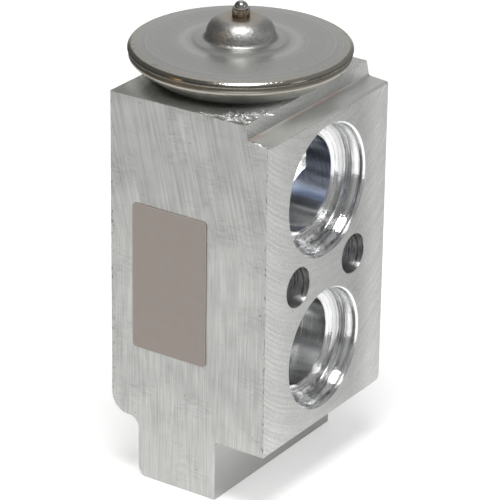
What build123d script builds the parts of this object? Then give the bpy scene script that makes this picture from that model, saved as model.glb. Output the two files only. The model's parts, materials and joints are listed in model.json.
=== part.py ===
from build123d import *
import os

os.makedirs("parts", exist_ok=True)

# Block-type refrigerant expansion valve, in millimetres, standing on its foot.
# The origin is on the valve axis at the underside of the foot, +Z points up to the
# power element, +X to the face with the deep ports and -Y to the label.

# Fits shared by several pieces
running_gap = 0.03
thread_gap = 0.05
seal_gap = 0.02
ball_gap = 0.06

# Heights of the passages above the underside of the foot
inlet_z = 23.4
port_spacing = 28.0
suction_z = inlet_z + port_spacing
outlet_rise = 3.0
outlet_z = inlet_z + outlet_rise
bolt_rise = 13.9
bolt_z = inlet_z + bolt_rise
head_margin = 15.7
block_top = suction_z + head_margin

# Block outline, measured from the valve axis
block_front = 17.1
block_back = 12.9
block_depth = 35.0
foot_height = 10.6
foot_front = 7.7
foot_back = 7.5
foot_back_fillet = 1.9
back_flat = 0.2
back_corner_r = block_back - foot_back - foot_back_fillet - back_flat
foot_front_fillet = 0.5
foot_edge_r = 1.8
foot_rear_r = 1.0

# Notch along the front top edge
notch_top_width = 4.2
notch_lean = 0.5
notch_wall_height = 2.45
notch_fillet = 0.5
notch_fall = 0.3
notch_edge_r = 0.45

# Bolt holes through the block
bolt_r = 3.4
bolt_pitch = 16.24

# Lengths of the steps shared by the two deep ports, from the port face inwards
lip_length = 0.3
entry_length = 0.6
entry_taper = 1.2
land_length = 1.3
shoulder_taper = 0.45
shoulder_length = 0.4
rim_taper = 0.35
shoulder_fillet = 0.35
lip_width = 0.33

# Suction port on the front face: its bore, and how much wider each step is
suction_bore_r = 8.0
suction_rim_width = 0.45
suction_shoulder_width = 0.85
suction_land_width = 1.05
suction_entry_width = 0.57

# Liquid inlet port on the front face, in the same way
inlet_bore_r = 7.55
inlet_rim_width = 0.35
inlet_shoulder_width = 0.75
inlet_land_width = 0.97
inlet_entry_width = 0.5
inlet_bore_depth = 9.05

# Shallow ports on the back face
back_lip_width = 0.4
back_suction_seat_width = 1.4
back_suction_depth = 1.5
outlet_bore_r = 6.6
outlet_seat_width = 2.0
outlet_land_depth = 2.6
outlet_bore_depth = 5.5

# Tapped mouth for the power element's neck, and the cavity under it
thread_r = 11.8
neck_length = 5.0
tap_runout = 0.5
thread_step = 0.75
bowl_rim_drop = 0.9
bowl_floor_r = 6.5

# Partition with the rod guide and the seal pocket
rod_r = 2.0
pocket_width = 1.6
pocket_depth = 4.4
guide_depth = 3.4
rod_end_gap = 0.4
pin_r = 1.0
pin_way_gap = 0.3
pin_socket = 3.0
pin_chamfer = 0.2
rod_edge_r = 0.3

# Orifice, outlet chamber and inner passages
seat_rise = 1.6
seat_height = 3.0
seat_outer_r = 3.8
orifice_r = 1.7
seat_cone_width = 0.7
seat_edge = 0.3
outlet_chamber_r = 2.9
outlet_chamber_height = 5.0
outlet_way_r = 2.3
outlet_way_rise = 4.0
inlet_way_r = 2.6
inlet_way_drop = 4.4

# Valve chamber and adjusting screw
screw_r = 6.0
screw_step = 0.7
screw_recess = 1.7
screw_thread_length = 5.7
screw_runout = 1.2
screw_land_length = 5.0
screw_land_gap = 0.08
groove_up = 2.4
groove_width = 1.4
groove_depth = 1.1
socket_flats = 6.0
socket_depth = 4.3
spring_pocket_gap = 0.15
spring_pocket_depth = 5.0
screw_edge = 0.4

# Ball, its carrier, the damper and the spring
ball_r = 2.6
carrier_overhang = 0.1
carrier_flange = 1.0
carrier_stem_gap = 0.2
carrier_stem = 2.0
carrier_cup_wall = 0.3
carrier_cup_height = 1.5
carrier_cup_drop = 1.43
carrier_edge = 0.4
wire_r = 0.45
spring_outer_r = 3.3
spring_turns = 6
damper_sheet = 0.2
damper_fingers = 4
damper_finger_width = 1.8
damper_drop = 2.6
damper_gap = 0.1

# Power element: its rim, and the steps inwards from it and up from the block
rim_r = 18.08
sheet = 0.9
diaphragm_sheet = 0.2
stroke = 0.8
neck_wall = 2.4
undercut = 0.85
undercut_height = 1.2
flange_gap = 0.6
flange_overhang = 2.3
flange_rise = 2.75
lip_overhang = 0.4
lip_rise = 0.4
clamp_taper = 0.6
clamp_rise = 0.65
clamp_land = 1.28
dish_width = 2.9
pad_rest_gap = 0.1
cone_edge_round = 0.6
lip_round = 0.4
flange_foot_round = 0.5
dish_round = 0.8
clamp_round = 0.5
neck_round = 0.4

# Lid of the power element: rises above its own rim, and widths of its steps
bump_r = 5.5
bump_rise = 5.4
bump_foot_rise = 2.15
bump_round = 2.9
bump_draft = 0.1
bump_foot_round = 0.6
collar_width = 1.9
collar_rise = 1.82
collar_round = 0.2
step_width = 0.45
step_rise = 1.43
step_round = 0.15
plain_width = 2.95
plain_rise = 1.4
fall_inset = 2.88
fall_rise = 1.2
fall_round = 1.0
edge_inset = 0.68
edge_rise = 0.85
edge_drop = 0.1
edge_round = 0.5
edge_foot_round = 0.2
charge_hole_gap = 0.05
inner_step_inset = 0.4
inner_foot_drop = 0.2
inner_round = 0.8
inner_bump_foot_round = 0.6

# Charge stub and its sealing ball
stub_r = 1.45
stub_height = 1.4
stub_wall = 0.27
stub_root_r = 0.55
stub_floor = 0.35
stub_cone_drop = 0.6
seal_ball_rise = 0.05
seal_ball_gap = 0.01

# Pad under the diaphragm
pad_r = 10.6
pad_disc = 1.2
pad_boss_r = 4.5
pad_boss = 4.2
pad_socket = 3.2
pad_edge_r = 0.4
pad_root_r = 0.6
corrugation_inset = 2.6
corrugation_width = 1.6
corrugation_rise = 0.22

# Seals and the retainer
head_seal_section = 0.6
head_seal_seat_gap = 0.08
retainer_sheet = 0.5
retainer_bore_gap = 0.3
retainer_slots = 6
retainer_slot_r = 0.35
retainer_seat_gap = 0.05

# Label
label_width = 14.4
label_height = 25.5
label_x = -1.4
label_z = 36.3
label_thickness = 0.15
label_corner_r = 0.75

# Radii worked out from the sizes above
mouth_r = thread_r + thread_gap
cavity_r = thread_r - thread_step
neck_bore_r = thread_r - neck_wall
undercut_r = thread_r - undercut
flange_foot_r = thread_r + flange_overhang
cone_edge_r = rim_r - lip_overhang
clamp_outer_r = rim_r - clamp_taper
clamp_inner_r = clamp_outer_r - clamp_land
dish_floor_r = clamp_inner_r - dish_width
corrugation_r = clamp_inner_r - corrugation_inset
collar_r = bump_r + collar_width
step_r = collar_r + step_width
plain_r = step_r + plain_width
fall_r = rim_r - fall_inset
edge_r = rim_r - edge_inset
charge_hole_r = stub_root_r + charge_hole_gap
seal_ball_r = stub_r - stub_wall - seal_ball_gap
pocket_r = rod_r + pocket_width
seat_cone_r = orifice_r + seat_cone_width
chamber_r = screw_r - screw_step
groove_r = chamber_r - groove_depth
spring_pocket_r = spring_outer_r + spring_pocket_gap
carrier_r = spring_outer_r + carrier_overhang
carrier_stem_r = spring_outer_r - 2 * wire_r - carrier_stem_gap
carrier_cup_r = ball_r + carrier_cup_wall

# Places worked out from the sizes above
seat_z = inlet_z + seat_rise
seat_top = seat_z + seat_height
chamber_top = seat_top + outlet_chamber_height
bowl_floor_z = suction_z - suction_bore_r
pocket_floor_z = bowl_floor_z - pocket_depth
guide_floor_z = pocket_floor_z - guide_depth
thread_top_z = screw_recess + screw_thread_length
chamber_floor_z = thread_top_z + screw_runout
screw_top_z = thread_top_z + screw_land_length
spring_floor_z = screw_top_z - spring_pocket_depth
contact_r = ball_r / 2 ** 0.5
ball_z = seat_z + seat_cone_r - 2 * contact_r - ball_gap
carrier_top_z = ball_z - carrier_cup_drop
carrier_z = carrier_top_z - carrier_cup_height - carrier_flange
flange_z = block_top + flange_gap
cone_edge_z = flange_z + flange_rise
lip_z = cone_edge_z + lip_rise
clamp_z = lip_z + clamp_rise
dish_floor_z = clamp_z - pad_disc - stroke - pad_rest_gap
lid_rim_z = clamp_z + diaphragm_sheet
neck_bottom_z = block_top - neck_length
tap_floor_z = neck_bottom_z - tap_runout
pad_bottom_z = clamp_z - pad_disc - pad_boss
rod_top_z = pad_bottom_z + pad_socket
rod_bottom_z = guide_floor_z + stroke + rod_end_gap
pin_bottom_z = ball_z + ball_r
pin_top_z = rod_bottom_z + pin_socket

# The mouth's chamfer lies just clear of the O-ring under the flange
head_seal_r = undercut_r + head_seal_section + seal_gap
head_seal_z = flange_z - head_seal_section - seal_gap
chamfer_reach = 2 ** 0.5 * (head_seal_section + head_seal_seat_gap)
mouth_chamfer = chamfer_reach + head_seal_r - mouth_r - (head_seal_z - block_top)


def ring_section(*points):
    """Closed half section in the XZ plane, ready to be revolved."""
    with BuildSketch(Plane.XZ) as section:
        with BuildLine():
            Polyline(*points, close=True)
        make_face()
    return section


def round_corner(section, point, radius):
    """Round the corner of a section that lies nearest to a point."""
    corner = section.vertices().sort_by_distance(point)[0]
    fillet(corner, radius=radius)


def deep_port(face_x, axis_z, bore_r, rim_width, shoulder_width, land_width, entry_width, end_x):
    """Stepped port seen in half section, from the front face inwards."""
    bore = axis_z + bore_r
    rim = bore + rim_width
    shoulder = rim + shoulder_width
    land = shoulder + land_width
    entry = land + entry_width
    lip_x = face_x - lip_length
    entry_x = lip_x - entry_length
    taper_x = entry_x - entry_taper
    land_x = taper_x - land_length
    shoulder_x = land_x - shoulder_taper
    rim_x = shoulder_x - shoulder_length
    with BuildSketch(Plane.XZ) as section:
        with BuildLine():
            Polyline(
                (face_x, axis_z),
                (face_x, entry + lip_width),
                (lip_x, entry),
                (entry_x, entry),
                (taper_x, land),
                (land_x, land),
                (shoulder_x, shoulder),
                (rim_x, shoulder),
                (rim_x, rim),
                (rim_x - rim_taper, bore),
                (end_x, bore),
                (end_x, axis_z),
                close=True,
            )
        make_face()
        round_corner(section, (land_x, land), shoulder_fillet)
    return section


def shallow_port(face_x, axis_z, bore_r, seat_width, depth, end_x):
    """Plain counterbored port in half section, from the back face inwards."""
    bore = axis_z + bore_r
    land = bore + seat_width
    return ring_section(
        (face_x, axis_z),
        (face_x, land + back_lip_width),
        (face_x + back_lip_width, land),
        (face_x + depth, land),
        (face_x + depth, bore),
        (end_x, bore),
        (end_x, axis_z),
    )


# Block: one extrusion along Y, then the bores
front_x = block_front
back_x = -block_back
notch_x = block_front - notch_top_width
notch_foot_x = notch_x + notch_lean
notch_foot_z = block_top - notch_wall_height

with BuildPart() as valve_block:
    with BuildSketch(Plane.XZ) as outline:
        with BuildLine():
            Polyline(
                (back_x, foot_height),
                (back_x, block_top),
                (notch_x, block_top),
                (notch_foot_x, notch_foot_z),
                (front_x, notch_foot_z - notch_fall),
                (front_x, foot_height),
                (foot_front, foot_height),
                (foot_front, 0),
                (-foot_back, 0),
                (-foot_back, foot_height),
                close=True,
            )
        make_face()
        round_corner(outline, (back_x, foot_height), back_corner_r)
        round_corner(outline, (-foot_back, foot_height), foot_back_fillet)
        round_corner(outline, (foot_front, foot_height), foot_front_fillet)
        round_corner(outline, (-foot_back, 0), foot_edge_r)
        round_corner(outline, (notch_foot_x, notch_foot_z), notch_fillet)
        round_corner(outline, (front_x, notch_foot_z - notch_fall), notch_edge_r)
    extrude(amount=block_depth / 2, both=True)

    # The foot's rear edge on the front side is slightly rounded
    foot_edge = valve_block.edges().sort_by_distance((foot_front, block_depth / 2, foot_height / 2))[0]
    fillet(foot_edge, radius=foot_rear_r)

    # Ports on the front face
    suction_axis = Axis((0, 0, suction_z), (1, 0, 0))
    add(deep_port(front_x, suction_z, suction_bore_r, suction_rim_width, suction_shoulder_width,
                  suction_land_width, suction_entry_width, 0).sketch)
    revolve(axis=suction_axis, mode=Mode.SUBTRACT)
    inlet_axis = Axis((0, 0, inlet_z), (1, 0, 0))
    inlet_floor_x = front_x - inlet_bore_depth
    add(deep_port(front_x, inlet_z, inlet_bore_r, inlet_rim_width, inlet_shoulder_width,
                  inlet_land_width, inlet_entry_width, inlet_floor_x).sketch)
    revolve(axis=inlet_axis, mode=Mode.SUBTRACT)

    # Ports on the back face
    add(shallow_port(back_x, suction_z, suction_bore_r, back_suction_seat_width,
                     back_suction_depth, 0).sketch)
    revolve(axis=suction_axis, mode=Mode.SUBTRACT)
    outlet_floor_x = back_x + outlet_bore_depth
    add(shallow_port(back_x, outlet_z, outlet_bore_r, outlet_seat_width,
                     outlet_land_depth, outlet_floor_x).sketch)
    revolve(axis=Axis((0, 0, outlet_z), (1, 0, 0)), mode=Mode.SUBTRACT)

    # Valve axis: screw thread, valve chamber, seat bore, outlet chamber, guides,
    # seal pocket, bowl of the suction passage and the tapped mouth
    add(ring_section(
        (0, 0),
        (screw_r + thread_gap, 0),
        (screw_r + thread_gap, chamber_floor_z),
        (chamber_r, chamber_floor_z),
        (chamber_r, seat_z),
        (seat_outer_r, seat_z),
        (seat_outer_r, seat_top),
        (outlet_chamber_r, seat_top),
        (outlet_chamber_r, chamber_top),
        (pin_r + pin_way_gap, chamber_top),
        (pin_r + pin_way_gap, guide_floor_z),
        (rod_r + running_gap, guide_floor_z),
        (rod_r + running_gap, pocket_floor_z),
        (pocket_r, pocket_floor_z),
        (pocket_r, bowl_floor_z),
        (bowl_floor_r, bowl_floor_z),
        (cavity_r, suction_z - bowl_rim_drop),
        (cavity_r, tap_floor_z),
        (mouth_r, tap_floor_z),
        (mouth_r, block_top - mouth_chamfer),
        (mouth_r + mouth_chamfer, block_top),
        (0, block_top),
    ).sketch)
    revolve(axis=Axis.Z, mode=Mode.SUBTRACT)

    # Small passages between the ports and the valve axis
    with BuildSketch(Plane.YZ.offset(inlet_floor_x)):
        with Locations((0, inlet_z - inlet_way_drop)):
            Circle(inlet_way_r)
    extrude(amount=-inlet_floor_x, mode=Mode.SUBTRACT)
    with BuildSketch(Plane.YZ.offset(outlet_floor_x)):
        with Locations((0, outlet_z + outlet_way_rise)):
            Circle(outlet_way_r)
    extrude(amount=-outlet_floor_x, mode=Mode.SUBTRACT)

    # Bolt holes from face to face
    with BuildSketch(Plane.YZ.offset(back_x)):
        with Locations((0, bolt_z)):
            with GridLocations(bolt_pitch, 0, 2, 1):
                Circle(bolt_r)
    extrude(amount=block_front + block_back, mode=Mode.SUBTRACT)
valve_block.part.label = "valve_block"
export_step(valve_block.part, "parts/valve_block.step")

# Lower half of the power element: threaded neck and dished flange in one piece
with BuildPart() as lower_housing:
    with BuildSketch(Plane.XZ) as dish:
        with BuildLine():
            Polyline(
                (neck_bore_r, neck_bottom_z),
                (thread_r, neck_bottom_z),
                (thread_r, flange_z - 2 * undercut_height),
                (undercut_r, flange_z - undercut_height),
                (undercut_r, flange_z),
                (flange_foot_r, flange_z),
                (cone_edge_r, cone_edge_z),
                (rim_r, lip_z),
                (clamp_outer_r, clamp_z),
                (clamp_inner_r, clamp_z),
                (dish_floor_r, dish_floor_z),
                (neck_bore_r, dish_floor_z),
                close=True,
            )
        make_face()
        round_corner(dish, (cone_edge_r, cone_edge_z), cone_edge_round)
        round_corner(dish, (rim_r, lip_z), lip_round)
        round_corner(dish, (flange_foot_r, flange_z), flange_foot_round)
        round_corner(dish, (dish_floor_r, dish_floor_z), dish_round)
        round_corner(dish, (clamp_inner_r, clamp_z), clamp_round)
        round_corner(dish, (neck_bore_r, dish_floor_z), neck_round)
    revolve(axis=Axis.Z)
lower_housing.part.label = "lower_housing"
export_step(lower_housing.part, "parts/lower_housing.step")

# Diaphragm: thin disc with one rolled corrugation, clamped at its rim
with BuildPart() as diaphragm:
    with BuildSketch(Plane.XZ):
        with BuildLine():
            wave_in = corrugation_r - corrugation_width
            wave_out = corrugation_r + corrugation_width
            lower = Line((0, clamp_z), (wave_in, clamp_z))
            crest_low = ThreePointArc(lower @ 1, (corrugation_r, clamp_z + corrugation_rise),
                                      (wave_out, clamp_z))
            rim_low = Line(crest_low @ 1, (clamp_outer_r, clamp_z))
            rim_end = Line(rim_low @ 1, (clamp_outer_r, clamp_z + diaphragm_sheet))
            rim_top = Line(rim_end @ 1, (wave_out, clamp_z + diaphragm_sheet))
            crest_top = ThreePointArc(
                rim_top @ 1,
                (corrugation_r, clamp_z + corrugation_rise + diaphragm_sheet),
                (wave_in, clamp_z + diaphragm_sheet))
            upper = Line(crest_top @ 1, (0, clamp_z + diaphragm_sheet))
            Line(upper @ 1, (0, clamp_z))
        make_face()
    revolve(axis=Axis.Z)
diaphragm.part.label = "diaphragm"
export_step(diaphragm.part, "parts/diaphragm.step")

# Upper half of the power element: pressed lid with a round bump
stub_z = lid_rim_z + bump_rise
with BuildPart() as upper_lid:
    with BuildSketch(Plane.XZ) as lid:
        with BuildLine():
            outer = FilletPolyline(
                (charge_hole_r, stub_z),
                (bump_r, stub_z),
                (bump_r + bump_draft, lid_rim_z + bump_foot_rise),
                (collar_r, lid_rim_z + collar_rise),
                (step_r, lid_rim_z + step_rise),
                (plain_r, lid_rim_z + plain_rise),
                (fall_r, lid_rim_z + fall_rise),
                (edge_r, lid_rim_z + edge_rise),
                (rim_r, lid_rim_z + edge_rise - edge_drop),
                (rim_r, lid_rim_z),
                (clamp_outer_r - sheet, lid_rim_z),
                radius=[bump_round, bump_foot_round, collar_round, step_round,
                        fall_round, fall_round, edge_round, edge_round, edge_foot_round],
            )
            inner = FilletPolyline(
                outer @ 1,
                (fall_r, lid_rim_z + fall_rise - sheet),
                (plain_r, lid_rim_z + plain_rise - sheet),
                (step_r - inner_step_inset, lid_rim_z + step_rise - sheet),
                (bump_r + bump_draft - sheet, lid_rim_z + bump_foot_rise - inner_foot_drop),
                (bump_r - sheet, stub_z - sheet),
                (charge_hole_r, stub_z - sheet),
                radius=[inner_round, inner_round, inner_round, inner_bump_foot_round,
                        bump_round - sheet],
            )
            Line(inner @ 1, outer @ 0)
        make_face()
    revolve(axis=Axis.Z)
upper_lid.part.label = "upper_lid"
export_step(upper_lid.part, "parts/upper_lid.step")

# Stub brazed on the bump: a small cup whose hole leads into the lid
stub_top_z = stub_z + stub_height
seal_ball_z = stub_top_z + seal_ball_rise
with BuildPart() as charge_stub:
    with BuildSketch(Plane.XZ) as cup:
        with BuildLine():
            Polyline(
                (stub_root_r, stub_z),
                (stub_r, stub_z),
                (stub_r, stub_top_z),
                (stub_r - stub_wall, stub_top_z),
                (stub_r - stub_wall, stub_top_z - stub_cone_drop),
                (stub_root_r, stub_z + stub_floor),
                close=True,
            )
        make_face()
    revolve(axis=Axis.Z)
    with BuildSketch(Plane.XZ):
        with Locations((0, seal_ball_z)):
            Circle(seal_ball_r + seal_ball_gap)
        with Locations((-2 * stub_r, stub_top_z)):
            Rectangle(4 * stub_r, 4 * stub_r, mode=Mode.SUBTRACT)
    revolve(axis=Axis.Z, mode=Mode.SUBTRACT)
charge_stub.part.label = "charge_stub"
export_step(charge_stub.part, "parts/charge_stub.step")

# Ball that seals the charge stub
with BuildPart() as sealing_ball:
    with BuildSketch(Plane.XZ):
        with Locations((0, seal_ball_z)):
            Circle(seal_ball_r)
        with Locations((-2 * stub_r, stub_top_z)):
            Rectangle(4 * stub_r, 4 * stub_r, mode=Mode.SUBTRACT)
    revolve(axis=Axis.Z)
sealing_ball.part.label = "sealing_ball"
export_step(sealing_ball.part, "parts/sealing_ball.step")

# O-ring between the flange, the neck's undercut and the block's chamfer
with BuildPart() as head_seal:
    with BuildSketch(Plane.XZ):
        with Locations((head_seal_r, head_seal_z)):
            Circle(head_seal_section)
    revolve(axis=Axis.Z)
head_seal.part.label = "head_seal"
export_step(head_seal.part, "parts/head_seal.step")

# Pad: the diaphragm presses on its disc, the rod sits in its boss
with BuildPart() as diaphragm_pad:
    with BuildSketch(Plane.XZ) as pad:
        with BuildLine():
            Polyline(
                (0, clamp_z),
                (pad_r, clamp_z),
                (pad_r, clamp_z - pad_disc),
                (pad_boss_r, clamp_z - pad_disc),
                (pad_boss_r, pad_bottom_z),
                (rod_r, pad_bottom_z),
                (rod_r, rod_top_z),
                (0, rod_top_z),
                close=True,
            )
        make_face()
        round_corner(pad, (pad_r, clamp_z), pad_edge_r)
        round_corner(pad, (pad_boss_r, clamp_z - pad_disc), pad_root_r)
        round_corner(pad, (pad_boss_r, pad_bottom_z), pad_edge_r)
    revolve(axis=Axis.Z)
diaphragm_pad.part.label = "diaphragm_pad"
export_step(diaphragm_pad.part, "parts/diaphragm_pad.step")

# Sensing rod through the suction passage, hollow at its lower end for the pin
with BuildPart() as sensing_rod:
    with BuildSketch(Plane.XZ) as rod:
        with BuildLine():
            Polyline(
                (0, rod_top_z),
                (rod_r, rod_top_z),
                (rod_r, rod_bottom_z),
                (pin_r, rod_bottom_z),
                (pin_r, pin_top_z),
                (0, pin_top_z),
                close=True,
            )
        make_face()
        round_corner(rod, (rod_r, rod_bottom_z), rod_edge_r)
    revolve(axis=Axis.Z)
sensing_rod.part.label = "sensing_rod"
export_step(sensing_rod.part, "parts/sensing_rod.step")

# Push pin from the rod down to the ball
with BuildPart() as push_pin:
    with BuildSketch(Plane.XY.offset(pin_bottom_z)):
        Circle(pin_r)
    extrude(amount=pin_top_z - pin_bottom_z)
    chamfer(push_pin.edges().group_by(Axis.Z)[0], length=pin_chamfer)
push_pin.part.label = "push_pin"
export_step(push_pin.part, "parts/push_pin.step")

# O-ring round the rod, lying on the floor of the seal pocket
rod_seal_section = (pocket_r - rod_r) / 2 - seal_gap
with BuildPart() as rod_seal:
    with BuildSketch(Plane.XZ):
        with Locations(((pocket_r + rod_r) / 2, pocket_floor_z + rod_seal_section)):
            Circle(rod_seal_section)
    revolve(axis=Axis.Z)
rod_seal.part.label = "rod_seal"
export_step(rod_seal.part, "parts/rod_seal.step")

# Slotted retainer pressed into the pocket over the rod seal
retainer_z = pocket_floor_z + 2 * rod_seal_section + retainer_seat_gap
retainer_bore_r = rod_r + retainer_bore_gap
with BuildPart() as seal_retainer:
    with BuildSketch(Plane.XY.offset(retainer_z)):
        Circle(pocket_r)
        Circle(retainer_bore_r, mode=Mode.SUBTRACT)
        with PolarLocations(retainer_bore_r, retainer_slots):
            Circle(retainer_slot_r, mode=Mode.SUBTRACT)
    extrude(amount=retainer_sheet)
seal_retainer.part.label = "seal_retainer"
export_step(seal_retainer.part, "parts/seal_retainer.step")

# Hard seat ring pressed in above the valve chamber
with BuildPart() as seat_ring:
    with BuildSketch(Plane.XZ):
        with BuildLine():
            Polyline(
                (seat_cone_r, seat_z),
                (seat_outer_r, seat_z),
                (seat_outer_r, seat_top),
                (orifice_r + seat_edge, seat_top),
                (orifice_r, seat_top - seat_edge),
                (orifice_r, seat_z + seat_cone_r - orifice_r),
                close=True,
            )
        make_face()
    revolve(axis=Axis.Z)
seat_ring.part.label = "seat_ring"
export_step(seat_ring.part, "parts/seat_ring.step")

# Valve ball under the seat
with BuildPart() as valve_ball:
    with BuildSketch(Plane.XZ):
        with Locations((0, ball_z)):
            Circle(ball_r)
        with Locations((-2 * ball_r, ball_z)):
            Rectangle(4 * ball_r, 4 * ball_r, mode=Mode.SUBTRACT)
    revolve(axis=Axis.Z)
valve_ball.part.label = "valve_ball"
export_step(valve_ball.part, "parts/valve_ball.step")

# Carrier: cup for the ball, flange for the spring and a stem inside it
with BuildPart() as ball_carrier:
    with BuildSketch(Plane.XZ):
        with BuildLine():
            Polyline(
                (0, carrier_z - carrier_stem),
                (carrier_stem_r - carrier_edge, carrier_z - carrier_stem),
                (carrier_stem_r, carrier_z - carrier_stem + carrier_edge),
                (carrier_stem_r, carrier_z),
                (carrier_r, carrier_z),
                (carrier_r, carrier_z + carrier_flange),
                (carrier_cup_r, carrier_z + carrier_flange),
                (carrier_cup_r, carrier_top_z),
                (0, carrier_top_z),
                close=True,
            )
        make_face()
    revolve(axis=Axis.Z)
    add(valve_ball.part, mode=Mode.SUBTRACT)
ball_carrier.part.label = "ball_carrier"
export_step(ball_carrier.part, "parts/ball_carrier.step")

# Damper: sheet ring on the carrier's flange with fingers along the chamber wall
damper_z = carrier_z + carrier_flange
finger_r = chamber_r - damper_gap
with BuildPart() as damper_spring:
    with BuildSketch(Plane.XY.offset(damper_z)):
        Circle(finger_r - damper_sheet)
        Circle(carrier_cup_r, mode=Mode.SUBTRACT)
    extrude(amount=damper_sheet)
    with BuildSketch(Plane.XY.offset(damper_z + damper_sheet)):
        with BuildSketch(mode=Mode.PRIVATE) as band:
            Circle(finger_r)
            Circle(finger_r - damper_sheet, mode=Mode.SUBTRACT)
        with PolarLocations(0, damper_fingers, start_angle=45):
            with Locations((finger_r, 0)):
                Rectangle(2 * finger_r, damper_finger_width)
        add(band.sketch, mode=Mode.INTERSECT)
    extrude(amount=-damper_drop)
damper_spring.part.label = "damper_spring"
export_step(damper_spring.part, "parts/damper_spring.step")

# Superheat spring between the screw's pocket and the carrier
coil_r = spring_outer_r - wire_r
coil_height = carrier_z - spring_floor_z
with BuildPart() as superheat_spring:
    with BuildLine() as coil:
        Helix(pitch=coil_height / spring_turns, height=coil_height, radius=coil_r,
              center=(0, 0, spring_floor_z))
    with BuildSketch(Plane(origin=coil.line @ 0, z_dir=coil.line % 0)):
        Circle(wire_r)
    sweep(path=coil.line, is_frenet=True)
    with BuildSketch(Plane.XY.offset(spring_floor_z)):
        Circle(2 * spring_outer_r)
    extrude(amount=coil_height, mode=Mode.INTERSECT)
superheat_spring.part.label = "superheat_spring"
export_step(superheat_spring.part, "parts/superheat_spring.step")

# Adjusting screw: thread, seal land with a groove, hex socket and spring pocket
groove_z = thread_top_z + groove_up
land_r = chamber_r - screw_land_gap
with BuildPart() as adjusting_screw:
    with BuildSketch(Plane.XZ):
        with BuildLine():
            Polyline(
                (0, screw_recess),
                (screw_r - screw_edge, screw_recess),
                (screw_r, screw_recess + screw_edge),
                (screw_r, thread_top_z),
                (land_r, thread_top_z),
                (land_r, groove_z),
                (groove_r, groove_z),
                (groove_r, groove_z + groove_width),
                (land_r, groove_z + groove_width),
                (land_r, screw_top_z),
                (spring_pocket_r, screw_top_z),
                (spring_pocket_r, spring_floor_z),
                (0, spring_floor_z),
                close=True,
            )
        make_face()
    revolve(axis=Axis.Z)
    with BuildSketch(Plane.XY.offset(screw_recess)):
        RegularPolygon(radius=socket_flats / 2, side_count=6, major_radius=False)
    extrude(amount=socket_depth, mode=Mode.SUBTRACT)
adjusting_screw.part.label = "adjusting_screw"
export_step(adjusting_screw.part, "parts/adjusting_screw.step")

# O-ring in the screw's groove
screw_seal_section = (chamber_r - groove_r) / 2 - seal_gap
with BuildPart() as screw_seal:
    with BuildSketch(Plane.XZ):
        with Locations(((chamber_r + groove_r) / 2, groove_z + groove_width / 2)):
            Circle(screw_seal_section)
    revolve(axis=Axis.Z)
screw_seal.part.label = "screw_seal"
export_step(screw_seal.part, "parts/screw_seal.step")

# Blank label on the side of the block
with BuildPart() as blank_label:
    with BuildSketch(Plane.XZ.offset(block_depth / 2)):
        with Locations((label_x, label_z)):
            RectangleRounded(label_width, label_height, label_corner_r)
    extrude(amount=label_thickness)
blank_label.part.label = "blank_label"
export_step(blank_label.part, "parts/blank_label.step")
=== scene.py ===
import json
import math
import random
from types import SimpleNamespace

import bmesh
import bpy
from mathutils import Matrix, Vector, noise


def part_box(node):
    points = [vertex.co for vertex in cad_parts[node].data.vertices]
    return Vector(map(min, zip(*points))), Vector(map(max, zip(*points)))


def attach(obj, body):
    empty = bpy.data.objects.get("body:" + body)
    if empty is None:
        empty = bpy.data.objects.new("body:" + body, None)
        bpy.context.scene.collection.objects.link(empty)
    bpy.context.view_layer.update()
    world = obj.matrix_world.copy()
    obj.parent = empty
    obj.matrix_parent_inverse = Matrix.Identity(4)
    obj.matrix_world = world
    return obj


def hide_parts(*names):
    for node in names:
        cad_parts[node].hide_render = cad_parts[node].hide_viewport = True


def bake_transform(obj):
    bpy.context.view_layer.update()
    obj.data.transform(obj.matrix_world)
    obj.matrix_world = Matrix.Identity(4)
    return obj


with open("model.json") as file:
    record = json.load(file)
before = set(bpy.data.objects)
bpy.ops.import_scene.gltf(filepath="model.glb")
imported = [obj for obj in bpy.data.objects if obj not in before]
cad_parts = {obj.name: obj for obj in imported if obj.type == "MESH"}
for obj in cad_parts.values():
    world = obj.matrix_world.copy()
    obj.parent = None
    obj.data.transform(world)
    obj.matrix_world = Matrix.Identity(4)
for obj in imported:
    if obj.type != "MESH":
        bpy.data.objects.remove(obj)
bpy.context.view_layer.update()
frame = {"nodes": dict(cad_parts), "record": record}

# Lengths below are in millimetres, and Blender's are in metres
MM = 0.001


def mount(name):
    """One of the record's mounts, by its name."""
    return next(m for m in frame["record"]["mounts"] if m["name"] == name)


def corners(node):
    """Lowest and highest corner of a node, in millimetres."""
    low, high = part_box(node)
    return Vector(low) / MM, Vector(high) / MM


# Sizes read from the frame
block_low, block_high = corners("valve_block")
front_x = block_high.x
back_x = block_low.x
side_y = block_low.y
block_top = block_high.z
suction_z = mount("suction_port")["pos_m"][2] / MM
inlet_z = mount("liquid_inlet_port")["pos_m"][2] / MM
outlet_z = mount("evaporator_outlet_port")["pos_m"][2] / MM
bolts = mount("clamp_bolts")
bolt_z = bolts["pos_m"][2] / MM
bolt_y = bolts["dims"]["spacing_x_mm"] / 2
bolt_r = bolts["dims"]["hole_r_mm"]
lid_low, lid_high = corners("upper_lid")
rim_r = lid_high.x
spring_low, spring_high = corners("superheat_spring")
spring_middle_z = (spring_low.z + spring_high.z) / 2

# Block: its ports, the bowl under the power element, the notch and the foot, and how far from the
# axis its top lies right under the rim or in the open
suction_mouth_r = 11.25
suction_bore_r = 8.0
bowl_r = 11.05
inlet_mouth_r = 10.45
inlet_bore_r = 7.6
outlet_mouth_r = 9.0
notch_top_x = 12.9
notch_foot = Vector((13.4, 0, 64.65))
notch_lip_z = 64.35
foot_height = 10.4
# The top under the rim is rougher and takes painted light, which fades out between these radii
under_rim_r = 16.0
open_top_r = 19.5

# Tool marks on the block
mill_r = 26.0
feed_step = 0.95
lean_angle = math.radians(13)
lean_from_z = 44.0
lean_blend = 12.0
scratch_way = (0.67, 0.74)
edge_softness = 0.14
block_mark_depth = 0.012

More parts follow.
